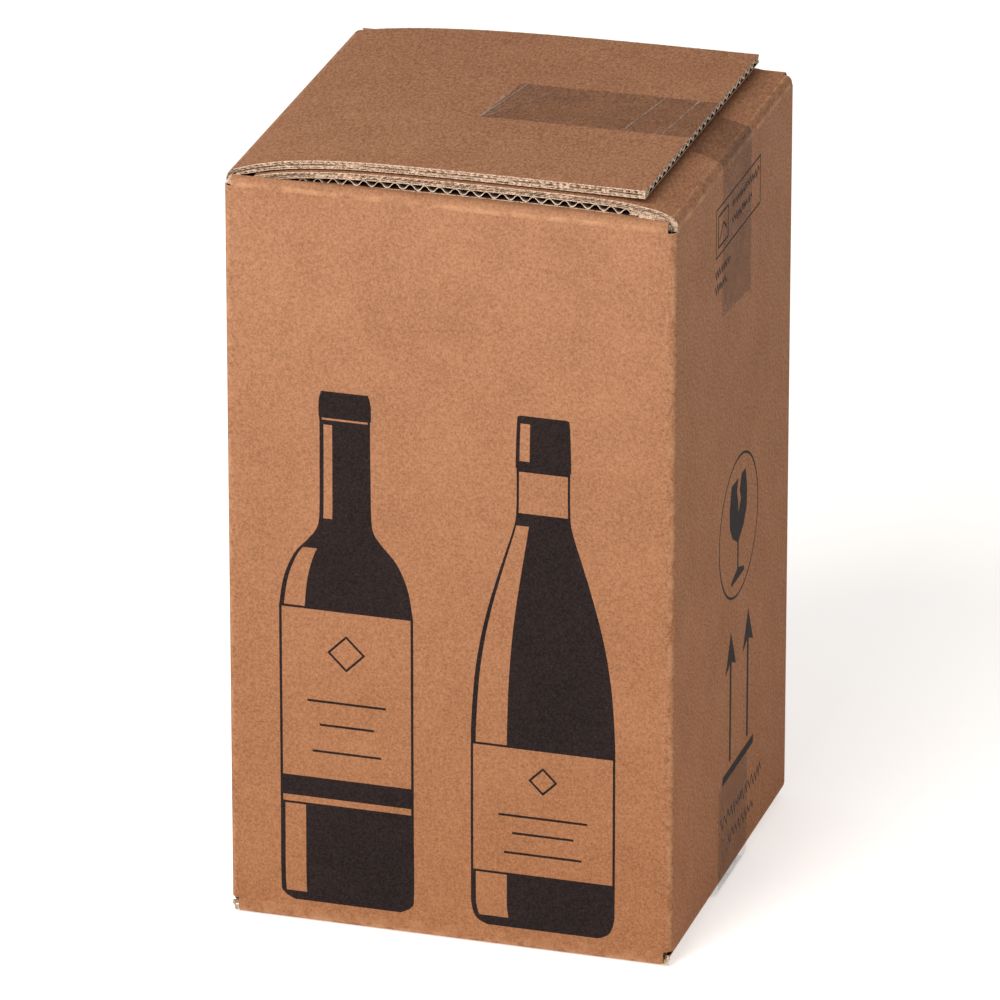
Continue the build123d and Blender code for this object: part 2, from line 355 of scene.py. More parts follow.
def inner_flap(name, layer, side, free_edge, fold_top, kind):
    """The front or the back top flap with its fold."""
    made = Collector()
    widths = graded(-INNER_SIDE, INNER_SIDE, 1.0, 3.0, 4.0)
    reach = spread(side * BACK_FOLD, free_edge, 40)
    outer, inner = [], []
    for x in widths:
        share = x / INNER_SIDE
        fold_x = share * CROSS_FOLD
        line = [(fold_x, side * HALF_DEPTH, WALL_TOP)]
        arc = arc_to_panel(
            (side * BACK_FOLD, fold_top), (side * HALF_DEPTH, fold_top - FOLD_RADIUS)
        )
        line += [(fold_x, y, z) for y, z in arc]
        low = [(fold_x, side * (HALF_DEPTH - BOARD), WALL_TOP - 0.5)]
        low += [(fold_x, side * (HALF_DEPTH - BOARD), fold_top - BOARD)]
        for i, y in enumerate(reach[1:]):
            ease = min(1.0, (i + 1) / 2)
            top = fold_top * (1 - ease) + upper_face(layer, x, y) * ease
            here = fold_x * (1 - ease) + x * ease
            line.append((here, y, top))
            low.append((here, y, top - BOARD))
        outer.append(line)
        inner.append(low)
    outer, inner = np.array(outer), np.array(inner)
    wear_and_shade = np.zeros(outer.shape[1])
    wear_and_shade[:8] = (0.4, 0.7, 0.2, 0.1, 0.1, 0.15, 0.3, 0.3)
    under = sheet(made, outer, UP, LINER, (kind, VOID_SHADE, EDGE), wear_and_shade)
    over = sheet(made, inner, -UP, LINER, (INSIDE, VOID_SHADE, EDGE))
    columns = min(under.shape[1], over.shape[1])
    for row, outward in ((0, (-1, 0, 0)), (-1, (1, 0, 0))):
        top, low = under[row][-columns:], over[row][-columns:]
        cut_edge(made, top, low, np.array(outward, float), layer * 3 + row)
    inward = 1.0 if free_edge < 0 else -1.0

    def place(x, depth):
        y = free_edge + inward * depth
        return np.array((x, y, upper_face(layer, x, y) - BOARD + LINER)), UP

    flutes(made, place, -INNER_SIDE + 0.6, INNER_SIDE - 0.6, layer * 5)
    return made.piece(name, board_materials)


def bottom_flap(name, axis, side, half_length, kind):
    """A bottom flap with its fold: axis 0 for a side panel's, 1 for the front's or back's."""
    made = Collector()
    half_span = (HALF_WIDTH, HALF_DEPTH)[axis]
    low = LAYER_PITCH if axis == 0 else TAPE_RECESS
    high = low + BOARD if axis == 0 else BOARD
    line = [(half_span, FLOOR_TOP)]
    for a in spread(0, math.pi / 2, 7):
        r = half_span - BOARD * (1 - math.cos(a))
        line.append((r, low + BOARD * (1 - math.sin(a))))
    reach = spread(half_span - BOARD, BOTTOM_SEAM / 2, 70)
    line += [(r, low) for r in reach[1:]]
    start = (half_span - BOARD, FLOOR_TOP)
    inside = [start] + [(start[0], high + 0.01)] + [(r, high) for r in reach[1:]]
    places = graded(-half_length, half_length, 1.0, 12.0, 3.0)

    def grid(profile):
        if axis == 0:
            return np.array([[(side * r, t, z) for r, z in profile] for t in places])
        return np.array([[(t, side * r, z) for r, z in profile] for t in places])

    outer, inner = grid(line), grid(inside)
    wear_and_shade = np.zeros(outer.shape[1])
    wear_and_shade[:9] = (0.2, 0.3, 0.5, 0.7, 0.8, 0.7, 0.5, 0.4, 0.2)
    under = sheet(made, outer, -UP, LINER, (kind, VOID_SHADE, EDGE), wear_and_shade)
    over = sheet(made, inner, UP, LINER, (INSIDE, VOID_SHADE, EDGE))
    columns = over.shape[1]
    for row, way in ((0, -1.0), (-1, 1.0)):
        outward = np.array((0.0, way, 0.0) if axis == 0 else (way, 0.0, 0.0))
        cut_edge(made, over[row], under[row][-columns:], outward, 40 + axis * 5 + side + row)

    def place(t, depth):
        r = side * (BOTTOM_SEAM / 2 + depth)
        foot = (r, t, low + LINER) if axis == 0 else (t, r, low + LINER)
        return np.array(foot), UP

    flutes(made, place, -half_length + 0.6, half_length - 0.6, 50 + axis + side)
    return made.piece(name, board_materials)


SCRAP_PAPER = 0.28


def torn_bits(name, spots):
    """Small curled scraps of liner that stand up where a corner was crushed."""
    made = Collector()
    for seed, (x, y, z, size, turn, tilt) in enumerate(spots):
        facing = Matrix.Rotation(turn, 3, "Z") @ Matrix.Rotation(tilt, 3, "X")
        grid = np.zeros((6, 7, 3))
        for i in range(6):
            for j in range(7):
                a, b = i / 5 - 0.5, j / 6 - 0.5
                ragged = 1 + 0.35 * rough(seed, i * 1.7 + j * 3.1, 1.3)
                curl = 0.5 * a * a + 0.25 * rough(seed + 9, a * 3 + b * 5, 1.0)
                spot = Vector((b * size * 1.6 * ragged, a * size * ragged, curl * size))
                grid[i, j] = Vector((x, y, z)) + facing @ spot
        room = SCRAP_PAPER + 0.02
        grid[:, :, 0] = np.clip(grid[:, :, 0], room - HALF_WIDTH, HALF_WIDTH - room)
        grid[:, :, 1] = np.clip(grid[:, :, 1], room - HALF_DEPTH, HALF_DEPTH - room)
        grid[:, :, 2] = np.maximum(grid[:, :, 2], room)
        sheet(made, grid, UP, SCRAP_PAPER, (EDGE, EDGE, EDGE))
    return made.piece(name, board_materials)


# ---- printing ------------------------------------------------------------------
BORDEAUX_X, BURGUNDY_X = -51.0, 46.4
ARROW_Y = (-1.6, 29.2)


def smooth(points, steps):
    """A soft line through points."""
    last = len(points) - 1
    line = []
    for i in range(last):
        p = [Vector(points[min(max(i + k, 0), last)]) for k in (-1, 0, 1, 2)]
        for j in range(steps):
            t = j / steps
            bend = 2 * p[0] - 5 * p[1] + 4 * p[2] - p[3]
            twist = 3 * (p[1] - p[2]) + p[3] - p[0]
            at = 2 * p[1] + (p[2] - p[0]) * t + bend * t * t + twist * t ** 3
            line.append(tuple(at * 0.5))
    line.append(tuple(points[-1]))
    return line


def oblong(x0, z0, x1, z1):
    return [(x0, z0), (x1, z0), (x1, z1), (x0, z1)]


def frame_lines(x0, z0, x1, z1, width):
    return [
        (oblong(x0, z0, x1, z1), True),
        (oblong(x0 + width, z0 + width, x1 - width, z1 - width), False),
    ]


def ring(cx, cz, rx, rz, width, count=72):
    def oval(a, b):
        turns = [2 * math.pi * i / count for i in range(count)]
        return [(cx + a * math.cos(t), cz + b * math.sin(t)) for t in turns]

    return [(oval(rx, rz), True), (oval(rx - width, rz - width), False)]


def pen(points, width):
    """A pen line drawn as one short bar for each step, so that corners stay thick."""
    shapes = []
    for start, end in zip(points, points[1:]):
        a, b = Vector(start), Vector(end)
        way = (b - a).normalized() * width / 2
        side = Vector((-way.y, way.x))
        a, b = a - way * 0.6, b + way * 0.6
        bar = [a + side, b + side, b - side, a - side]
        shapes.append(([tuple(p) for p in bar], True))
    return shapes


def scribble(x0, x1, z, height, pitch, seed, width=1.0, fade=0.5):
    """A greeked line of writing: uneven strokes up and down that fade to the right."""
    chance = random.Random(seed)
    points = []
    x, up = x0, True
    while x < x1:
        share = (x - x0) / (x1 - x0)
        tall = height * (1 - fade * share) * chance.uniform(0.45, 1.1)
        points.append((x, z + (0.5 if up else -0.5) * tall))
        up = not up
        x += pitch * chance.uniform(0.28, 0.72)
    points.append((x1, z - height * 0.1))
    return pen(points, width)


class Bottle:
    """A bottle figure from its own outline: half widths at heights, base to mouth."""

    def __init__(self, centre, outline):
        self.centre = centre
        self.outline = smooth(outline, 6)

    def half(self, z):
        for (w0, z0), (w1, z1) in zip(self.outline, self.outline[1:]):
            if z0 <= z <= z1:
                return w0 + (w1 - w0) * (z - z0) / max(z1 - z0, 1e-6)
        return self.outline[-1][0]

    def silhouette(self):
        base, mouth = self.outline[0][1], self.outline[-1][1]
        side = []
        for w, z in self.outline:
            z = min(max(z, base), mouth)
            if side and z - side[-1][1] < 1e-4:
                side.pop()
            side.append((w, z))
        right = [(self.centre + w, z) for w, z in side]
        left = [(self.centre - w, z) for w, z in side[::-1]]
        return right + left

    def band(self, z0, z1, near, far, steps=24):
        """The part between two heights and between two shares of the half width."""
        first, second = [], []
        for z in spread(z0, z1, steps):
            half = self.half(z)
            first.append((self.centre + near * half, z))
            second.append((self.centre + far * half, z))
        return first + second[::-1]


def shifted(centre, points):
    return [(centre + x, z) for x, z in points]


def label_marks(centre, low, high, reach):
    """Plain marks of a label: a diamond over centred rules."""
    middle = high - (high - low) * 0.24
    size = (high - low) * 0.1
    diamond = [(0, middle + size), (size, middle), (0, middle - size), (-size, middle),
               (0, middle + size)]
    shapes = pen(shifted(centre, diamond), 1.1)
    for share, width in ((0.54, 0.8), (0.68, 0.55), (0.84, 0.7)):
        z = high - (high - low) * share
        shapes += pen([(centre - reach * width, z), (centre + reach * width, z)], 1.2)
    return shapes


def bordeaux_figure(centre):
    """A bottle with steep shoulders, lit from the left."""
    outline = [(26.5, 11.5), (31.6, 14.5), (33.3, 21), (33.3, 60), (33.3, 120), (33.3, 158),
               (32.7, 169), (30.4, 181), (25.4, 192.5), (18.6, 200.5), (14.3, 206.5),
               (12.9, 214), (12.6, 236), (12.5, 261), (12.9, 264.5), (12.8, 272), (11.6, 277)]
    bottle = Bottle(centre, outline)
    shapes = [
        (bottle.silhouette(), True),
        (bottle.band(16, 196, -0.93, -0.62, 60), False),
        (bottle.band(212, 260, -0.84, -0.5), False),
        (bottle.band(262.4, 263.4, -0.9, 0.9, 4), False),
        (oblong(centre - 33.3, 62, centre + 33.3, 165.6), True),
        (oblong(centre - 32.0, 63.2, centre + 32.0, 164.4), False),
        (oblong(centre - 32.0, 66.5, centre + 32.0, 77), True),
    ]
    return shapes + label_marks(centre, 77, 164, 24)


def burgundy_figure(centre):
    """A bottle with sloping shoulders and a capsule, lit from the left."""
    outline = [(27.5, 11.2), (32.8, 14), (35.3, 20.5), (35.7, 32), (35.7, 100), (35.4, 117),
               (33.8, 140), (30.8, 160), (27.2, 176), (23.0, 191), (18.4, 206), (15.0, 217),
               (13.3, 226), (13.1, 248), (13.6, 251), (12.8, 274), (11.0, 276)]
    bottle = Bottle(centre, outline)
    shapes = [
        (bottle.silhouette(), True),
        (bottle.band(16, 220, -0.93, -0.5, 60), False),
        (bottle.band(226.5, 247.5, -0.91, 0.91), False),
        (bottle.band(253, 272, -0.86, -0.5), False),
    ]
    shapes += frame_lines(centre - 35.7, 38.5, centre + 35.7, 106.2, 1.2)
    return shapes + label_marks(centre, 40, 105, 27)


def side_marks():
    """Handling marks of the right panel: frame, glass in an oval, two arrows."""
    shapes = frame_lines(-34.6, 336, 43.6, 361, 1.0)
    shapes += frame_lines(-31, 340, -13, 357, 1.3)
    shapes += pen([(-28, 344), (-22, 351), (-16, 346)], 1.3)
    for z, y0, y1, seed in ((354, -6, 41, 31), (345.5, -6, 28, 32), (328, -35, -9, 33),
                            (320.5, -35, -15, 34)):
        shapes += scribble(y0, y1, z, 4.6, 3.4, seed, 1.1, 0.1)
    shapes += ring(10.4, 182.8, 35.0, 36.3, 1.3)
    bowl = [(-3.2, 208), (-6.2, 196), (-5.6, 187), (-0.5, 180), (5.5, 176.5), (8.3, 174.5),
            (8.3, 161), (-2, 157.6), (-2, 155.4), (21, 155.4), (21, 157.6), (10.7, 161),
            (10.7, 174.5), (13.5, 176.5), (19.5, 180), (24.6, 187), (25.2, 196), (22.2, 208),
            (14.5, 208), (11.5, 200.5), (14, 196), (9.8, 190), (9.0, 196.5), (6.8, 201),
            (9.2, 208)]
    shapes.append((bowl, True))
    for y in ARROW_Y:
        tip, base, head = 132.0, 64.0, 20.0
        arrow = [(y - 1.6, base), (y + 1.6, base), (y + 1.6, tip - head + 3.5),
                 (y + 9.5, tip - head), (y, tip), (y - 9.5, tip - head),
                 (y - 1.6, tip - head + 3.5)]
        shapes.append((arrow, True))
    shapes.append((oblong(-14.7, 56, 40.6, 60.5), True))
    for z, y0, y1, seed in ((36.5, -17, 55, 35), (24, -4, 41, 36)):
        shapes += scribble(y0, y1, z, 7.0, 5.0, seed, 1.0, 0.0)
    return shapes


def covered(centres, outline):
    """Which centres lie within an outline, by how often it winds round them."""
    turns = np.zeros(len(centres), int)
    x, z = centres[:, 0], centres[:, 1]
    for (x0, z0), (x1, z1) in zip(outline, outline[1:] + outline[:1]):
        if z0 == z1:
            continue
        beyond = x < x0 + (z - z0) * (x1 - x0) / (z1 - z0)
        turns += (beyond & (z0 <= z) & (z < z1)).astype(int)
        turns -= (beyond & (z1 <= z) & (z < z0)).astype(int)
    return turns != 0


def printed_panel(into, shapes, start, end, low, high, to_space, kind, heights):
    """A flat panel cut into plain and inked regions; the last shape on a spot counts."""
    across = spread(start, end, 18)
    loop = [(x, low) for x in across] + [(end, z) for z in heights[1:-1]]
    loop += [(x, high) for x in across[::-1]] + [(start, z) for z in heights[-2:0:-1]]
    points = [Vector(p) for p in loop]
    edges = [(i, (i + 1) % len(loop)) for i in range(len(loop))]
    for outline, _ in shapes:
        first, count = len(points), len(outline)
        points += [Vector(p) for p in outline]
        edges += [(first + i, first + (i + 1) % count) for i in range(count)]
    made, _, triangles, _, _, _ = delaunay_2d_cdt(points, edges, [], 0, 1e-5)
    places = np.array([tuple(p) for p in made])
    centres = places[np.array(triangles)].mean(axis=1)
    inked = np.zeros(len(triangles), bool)
    for outline, ink in shapes:
        inked[covered(centres, outline)] = ink
    first = len(into.points)
    into.points += [to_space(x, z) for x, z in places]
    into.wear_and_shade += [0.0] * len(places)
    into.faces += [[first + c for c in corners] for corners in triangles]
    into.kinds += [INK if dark else kind for dark in inked]


def walls():
    """The four panels with their rounded upright folds, and the open rims."""
    made = Collector()
    heights = spread(FLOOR_TOP, WALL_TOP, 40)
    flat_x, flat_y = HALF_WIDTH - EDGE_RADIUS, HALF_DEPTH - EDGE_RADIUS
    front = bordeaux_figure(BORDEAUX_X) + burgundy_figure(BURGUNDY_X)
    printed_panel(made, front, -flat_x, flat_x, FLOOR_TOP, WALL_TOP,
                  lambda s, z: (s, -HALF_DEPTH, z), KRAFT_X, heights)
    printed_panel(made, side_marks(), -flat_y, flat_y, FLOOR_TOP, WALL_TOP,
                  lambda s, z: (HALF_WIDTH, s, z), KRAFT_Y, heights)
    printed_panel(made, [], -flat_x, flat_x, FLOOR_TOP, WALL_TOP,
                  lambda s, z: (s, HALF_DEPTH, z), KRAFT_X, heights)
    printed_panel(made, [], -flat_y, flat_y, FLOOR_TOP, WALL_TOP,
                  lambda s, z: (-HALF_WIDTH, s, z), KRAFT_Y, heights)
    turns = spread(0, math.pi / 2, 10)
    wear_and_shade = 0.6 * np.array([math.sin(2 * a) ** 3 for a in turns])[:, None]
    for sx, sy in ((-1, -1), (1, -1), (1, 1), (-1, 1)):
        grid = []
        for a in turns:
            x = sx * (flat_x + EDGE_RADIUS * math.sin(a))
            y = sy * (flat_y + EDGE_RADIUS * math.cos(a))
            grid.append([(x, y, z) for z in heights])
        made.skin(made.add(np.array(grid), wear_and_shade), KRAFT_Y)
    wall_rims(made, flat_x, flat_y)
    glue_tab(made)
    return made


def ring_points(flat_x, flat_y):
    """The outline of the tube, outside and inside, point for point."""
    outside, inside = [], []
    turns = spread(0, math.pi / 2, 10)
    corners = ((1, -1), (1, 1), (-1, 1), (-1, -1))
    for (sx, sy), (nx, ny) in zip(corners, corners[1:] + corners[:1]):
        order = turns if sx * sy < 0 else turns[::-1]
        for a in order:
            outside.append((sx * (flat_x + EDGE_RADIUS * math.sin(a)),
                            sy * (flat_y + EDGE_RADIUS * math.cos(a))))
            inside.append((sx * flat_x, sy * flat_y))
        for t in spread(0, 1, 18)[1:-1]:
            dx = sx * flat_x + (nx - sx) * flat_x * t
            dy = sy * flat_y + (ny - sy) * flat_y * t
            outside.append((dx + (sx * EDGE_RADIUS if sx == nx else 0),
                            dy + (sy * EDGE_RADIUS if sy == ny else 0)))
            inside.append((dx, dy))
    return np.array(outside), np.array(inside)


def wall_rims(made, flat_x, flat_y):
    """The inner skin, and both rims with the hollow of the board open at the corners."""
    outside, inside = ring_points(flat_x, flat_y)
    top_hollow, low_hollow = WALL_TOP - HOLLOW_DEPTH, FLOOR_TOP + HOLLOW_DEPTH
    profile = [
        (0.0, WALL_TOP, EDGE), (0.14, WALL_TOP, EDGE), (0.16, top_hollow, VOID_SHADE),
        (0.84, top_hollow, VOID_SHADE), (0.86, WALL_TOP, EDGE), (1.0, WALL_TOP, INSIDE),
        (1.0, FLOOR_TOP, EDGE), (0.86, FLOOR_TOP, VOID_SHADE), (0.84, low_hollow, VOID_SHADE),
        (0.16, low_hollow, VOID_SHADE), (0.14, FLOOR_TOP, EDGE), (0.0, FLOOR_TOP, EDGE),
    ]
    for (s0, z0, kind), (s1, z1, _) in zip(profile, profile[1:]):
        rows = []
        for share, z in ((s0, z0), (s1, z1)):
            loop = outside * (1 - share) + inside * share
            loop = np.vstack([loop, loop[:1]])
            rows.append(np.column_stack([loop, np.full(len(loop), z)]))
        made.skin(made.add(np.array(rows)), kind)


def glue_tab(made):
    """The flap of the manufacturer's joint, inside the back panel."""
    near, far = -HALF_WIDTH + BOARD, -HALF_WIDTH + BOARD + 32.0
    low, high, taper = FLOOR_TOP + 14.0, WALL_TOP - 14.0, 6.0
    back = HALF_DEPTH - BOARD - 0.05
    grid = np.array([[(near, back, low), (far, back, low + taper)],
                     [(near, back, high), (far, back, high - taper)]])
    made.slab(grid, grid - np.array((0.0, BOARD, 0.0)), (INSIDE, INSIDE, EDGE))


# ---- tape ----------------------------------------------------------------------
FILM = 0.06
FILM_GAP = 0.1
TAPE_FRONT, TAPE_BACK = -23.0, 27.0
TAPE_LOW_FRONT, TAPE_LOW_BACK = -21.0, 29.0
TAPE_START, START_SLANT = -9.6, 5.6
TAPE_END, END_SLANT = 302.5, 4.2
TAPE_RISE = 57.0
SAW_PITCH, SAW_DEPTH = 2.2, 0.9
LANDING = 2.0

# creases in the film: where they start and end in (X, Y), width, height, whiteness
TOP_CREASES = [
    (-9.0, -23.0, -4.5, 22.0, 0.45, 0.22, 0.9),
    (-8.5, -23.0, -0.5, 26.0, 0.4, 0.2, 0.8),
    (-7.5, -22.0, 5.0, 27.0, 0.35, 0.15, 0.55),
    (-6.0, -21.0, 15.0, 19.0, 0.4, 0.15, 0.6),
    (61.0, -23.0, 68.0, 27.0, 0.45, 0.22, 0.75),
    (80.0, -23.0, 84.5, 27.0, 0.4, 0.2, 0.8),
    (30.0, -23.0, 33.0, -8.0, 0.4, 0.1, 0.25),
]


def crease_at(x, y):
    """Height and whiteness of the creases at one place of the film."""
    height = white = 0.0
    for x0, y0, x1, y1, width, lift, paleness in TOP_CREASES:
        along = Vector((x1 - x0, y1 - y0))
        offset = Vector((x - x0, y - y0))
        share = min(max(offset.dot(along) / along.length_squared, 0.0), 1.0)
        wobble = 0.5 * rough(x0, y, 9.0)
        away = (offset - along * share).length + wobble * 0.4
        near = math.exp(-(away / width) ** 2)
        height = max(height, lift * near)
        white = max(white, paleness * near)
    return height, white


def saw(t):
    """The toothed end that a tape cutter leaves."""
    return SAW_DEPTH * abs((t / SAW_PITCH) % 1.0 * 2 - 1)


def top_film():
    """The film along the left flap, down its edge, along the right flap and down the panel."""
    made = Collector()
    grid, worn_and_shaded = [], []
    for k, y in enumerate(spread(TAPE_FRONT, TAPE_BACK, 90)):
        share = (y - TAPE_FRONT) / (TAPE_BACK - TAPE_FRONT)
        start = TAPE_START + START_SLANT * share + saw(y) + 0.8 * rough(3, y, 6.0)
        line, white = [], []
        for x in spread(start, LEFT_FLAP_END, 170):
            lift, pale = crease_at(x, y)
            line.append((x, upper_face(LEFT_LAYER, x, y) + FILM_GAP + FILM + lift))
            white.append(pale)
        top = upper_face(LEFT_LAYER, LEFT_FLAP_END, y)
        landing = upper_face(RIGHT_LAYER, LEFT_FLAP_END + LANDING, y)
        for out, z in ((0.22, top - 0.15), (0.35, top - 1.6), (0.6, landing + 1.6),
                       (1.1, landing + 0.55)):
            line.append((LEFT_FLAP_END + out, z))
            white.append(-1.0)
        for x in spread(LEFT_FLAP_END + LANDING, HALF_WIDTH - OUTER_RUN, 12):
            line.append((x, upper_face(RIGHT_LAYER, x, y) + FILM_GAP + FILM))
            white.append(0.1 * max(0.0, rough(8, x + y, 5.0)))
        end = (HALF_WIDTH - OUTER_RUN, upper_face(RIGHT_LAYER, HALF_WIDTH - OUTER_RUN, y))
        arc = arc_to_panel(end, (HALF_WIDTH, CREASE - FOLD_RADIUS), 8)
        for x, z in arc[-2::-1]:
            line.append((x + (FILM_GAP + FILM) * 0.8, z + (FILM_GAP + FILM) * 0.6))
            white.append(0.12)
        low = TAPE_END - END_SLANT * share + saw(y) + 0.5 * rough(5, y, 7.0)
        for z in spread(CREASE - FOLD_RADIUS - 1.0, low, 30):
            ripple = 0.04 * rough(12, z + y * 0.6, 9.0)
            line.append((HALF_WIDTH + FILM_GAP + FILM + ripple, z))
            white.append(0.15 * max(0.0, rough(14, z - y, 4.0)))
        wobble = 0.18 * rough(21, k * 0.1, 1.0)
        grid.append([(x, y + wobble, z) for x, z in line])
        worn_and_shaded.append(white)
    grid = np.array(grid)
    sheet(made, grid, UP, FILM, (0, 0, 0), np.array(worn_and_shaded))
    return made.piece("top_film", [film])


def bottom_film():
    """The film under the box, whose ends stand up the left and right panels."""
    made = Collector()
    out = HALF_WIDTH + FILM_GAP + FILM
    radius = BOARD
    bend = []
    for a in spread(0, math.pi / 2, 10):
        bend.append((out - radius * (1 - math.cos(a)), radius * (1 - math.sin(a))))
    rows, worn_and_shaded = [], []
    for y in spread(TAPE_LOW_FRONT, TAPE_LOW_BACK, 60):
        left = TAPE_RISE + saw(y) + 0.5 * rough(29, y, 8.0)
        right = TAPE_RISE + saw(y) + 0.5 * rough(31, y, 8.0)
        line = [(-out, z) for z in spread(left, radius, 24)]
        line += [(-x, z) for x, z in bend[1:]]
        line += [(x, 0.0) for x in spread(-out + radius, out - radius, 40)[1:-1]]
        line += bend[::-1]
        line += [(out, z) for z in spread(radius, right, 24)[1:]]
        rows.append([(x + 0.03 * rough(40, z + y, 6.0), y, z) for x, z in line])
        worn_and_shaded.append([0.18 * max(0.0, rough(44, z * 1.3 - y, 5.0)) for _, z in line])
    grid = np.array(rows)
    grid[:, :, 0] = np.clip(grid[:, :, 0], -out, out)
    sheet(made, grid, -UP, FILM, (0, 0, 0), np.array(worn_and_shaded))
    return made.piece("bottom_film", [film])


# ---- materials -----------------------------------------------------------------
class Graph:
    """Short names for the nodes of one material."""

    def __init__(self, name):
        self.material = bpy.data.materials.new(name)
        self.material.use_nodes = True
        self.nodes = self.material.node_tree.nodes
        self.links = self.material.node_tree.links
        self.shader = self.nodes["Principled BSDF"]
        self.place = self.nodes.new("ShaderNodeTexCoord").outputs["Object"]

    def put(self, socket, value):
        if isinstance(value, bpy.types.NodeSocket):
            self.links.new(value, socket)
        else:
            socket.default_value = value

    def scaled(self, x, y, z):
        node = self.nodes.new("ShaderNodeMapping")
        self.put(node.inputs["Vector"], self.place)
        node.inputs["Scale"].default_value = (x, y, z)
        return node.outputs["Vector"]

    def noise(self, scale, detail=2.0, where=None, roughness=0.5):
        node = self.nodes.new("ShaderNodeTexNoise")
        self.put(node.inputs["Vector"], where or self.place)
        node.inputs["Scale"].default_value = scale
        node.inputs["Detail"].default_value = detail
        node.inputs["Roughness"].default_value = roughness
        return node.outputs["Fac"]

    def math(self, what, a, b=0.0, c=0.0):
        node = self.nodes.new("ShaderNodeMath")
        node.operation = what
        for socket, value in zip(node.inputs, (a, b, c)):
            self.put(socket, value)
        return node.outputs[0]

    def span(self, value, low, high, out_low=0.0, out_high=1.0):
        node = self.nodes.new("ShaderNodeMapRange")
        node.interpolation_type = "SMOOTHSTEP"
        self.put(node.inputs["Value"], value)
        for name, number in (("From Min", low), ("From Max", high),
                             ("To Min", out_low), ("To Max", out_high)):
            node.inputs[name].default_value = number
        return node.outputs["Result"]

    def mix(self, share, a, b):
        node = self.nodes.new("ShaderNodeMix")
        node.data_type = "RGBA"
        self.put(node.inputs[0], share)
        self.put(node.inputs[6], a)
        self.put(node.inputs[7], b)
        return node.outputs[2]

    # The per-point value of wear and film creases, and of painted shade by depth in the
    # flutes.
    def worn_and_shaded(self):
        node = self.nodes.new("ShaderNodeAttribute")
        node.attribute_name = "wear_and_shade"
        return node.outputs["Fac"]

    def bump(self, height, strength, distance):
        node = self.nodes.new("ShaderNodeBump")
        node.inputs["Strength"].default_value = strength
        node.inputs["Distance"].default_value = distance
        self.put(node.inputs["Height"], height)
        self.links.new(node.outputs["Normal"], self.shader.inputs["Normal"])

    def axis(self, index):
        node = self.nodes.new("ShaderNodeSeparateXYZ")
        self.put(node.inputs[0], self.place)
        return node.outputs[index]


FLECK = (0.10, 0.04, 0.018, 1)
# Near-black painted shade for the flutes deep in the board.
FLUTE_SHADE = (0.035, 0.014, 0.008, 1)


def paper_factor(graph, grain=0.6, mottle=0.4, fibre=0.16):
    """Light and dark of kraft paper about 0.5, and its fibres on their own."""
    fine = graph.noise(1.0, 2.0, graph.scaled(900, 420, 900), roughness=0.6)
    soft = graph.noise(1.0, 1.0, graph.scaled(1700, 800, 1700))
    cloud = graph.noise(34, 4.0)
    level_fibres = graph.noise(1.0, 1.0, graph.scaled(420, 420, 1900))
    steep_fibres = graph.noise(1.0, 1.0, graph.scaled(1800, 1800, 450))
    fibres = graph.math("MAXIMUM", level_fibres, steep_fibres)
    fibres = graph.span(fibres, 0.55, 0.78)
    total = graph.math("MULTIPLY_ADD", fine, grain * 2.6, 0.5 - grain * 1.3)
    for value, weight in ((soft, grain), (cloud, mottle)):
        lowered = graph.math("SUBTRACT", total, weight / 2)
        total = graph.math("MULTIPLY_ADD", value, weight, lowered)
    total = graph.math("MULTIPLY_ADD", fibres, -fibre, total)
    return total, fibres, fine


WORN_KRAFT = (0.58, 0.33, 0.18, 1)
# Painted shade at the foot of the box and painted light at its head, as tints of the kraft
# colour.
FOOT_SHADE_TINT, HEAD_LIGHT_TINT = (0.92, 0.85, 0.73), (1.01, 1.04, 1.07)


def tinted(colour, tint):
    return tuple(part * share for part, share in zip(colour, tint)) + (1,)


def kraft(name, dark, light, axis=None, grain=0.6):
    """Kraft paper with painted shade and light: a little redder and deeper towards the foot of
    the box, a little paler and cooler towards its head.
    """
    graph = Graph(name)
    total, fibres, fine = paper_factor(graph, grain)
    # Painted shade and light: the colour is darker and redder at the foot of the box and paler
    # and cooler at its head, blended by height.
    foot = graph.mix(total, tinted(dark, FOOT_SHADE_TINT), tinted(light, FOOT_SHADE_TINT))
    head = graph.mix(total, tinted(dark, HEAD_LIGHT_TINT), tinted(light, HEAD_LIGHT_TINT))
    rise = graph.math("MULTIPLY", graph.axis(2), 1 / (CREASE * MM))
    colour = graph.mix(rise, foot, head)
    flecks = graph.span(graph.noise(480, 1.0), 0.72, 0.8)
    colour = graph.mix(graph.math("MULTIPLY", flecks, 0.3), colour, FLECK)
    patchy = graph.span(graph.noise(160, 3.0), 0.35, 0.65)
    worn_and_shaded = graph.math("MULTIPLY", graph.worn_and_shaded(), patchy)
    colour = graph.mix(graph.math("MULTIPLY", worn_and_shaded, 0.55), colour, WORN_KRAFT)
    graph.put(graph.shader.inputs["Base Color"], colour)
    shine = graph.span(graph.noise(90, 3.0), 0.3, 0.7, 0.77, 0.93)
    graph.put(graph.shader.inputs["Roughness"], shine)
    graph.shader.inputs["Specular IOR Level"].default_value = 0.12
    height = graph.math("MULTIPLY_ADD", fine, 0.6, graph.math("MULTIPLY", fibres, 0.5))
    if axis is not None:
        turns = graph.math("MULTIPLY", graph.axis(axis), 2 * math.pi / (FLUTE_PITCH * MM))
        height = graph.math("MULTIPLY_ADD", graph.math("SINE", turns), 0.35, height)
    graph.bump(height, 0.22, 0.00012)
    return graph.material


INK_DARK, INK_LIGHT = (0.005, 0.003, 0.003, 1), (0.025, 0.015, 0.0145, 1)
INK_THIN = (0.12, 0.065, 0.04, 1)


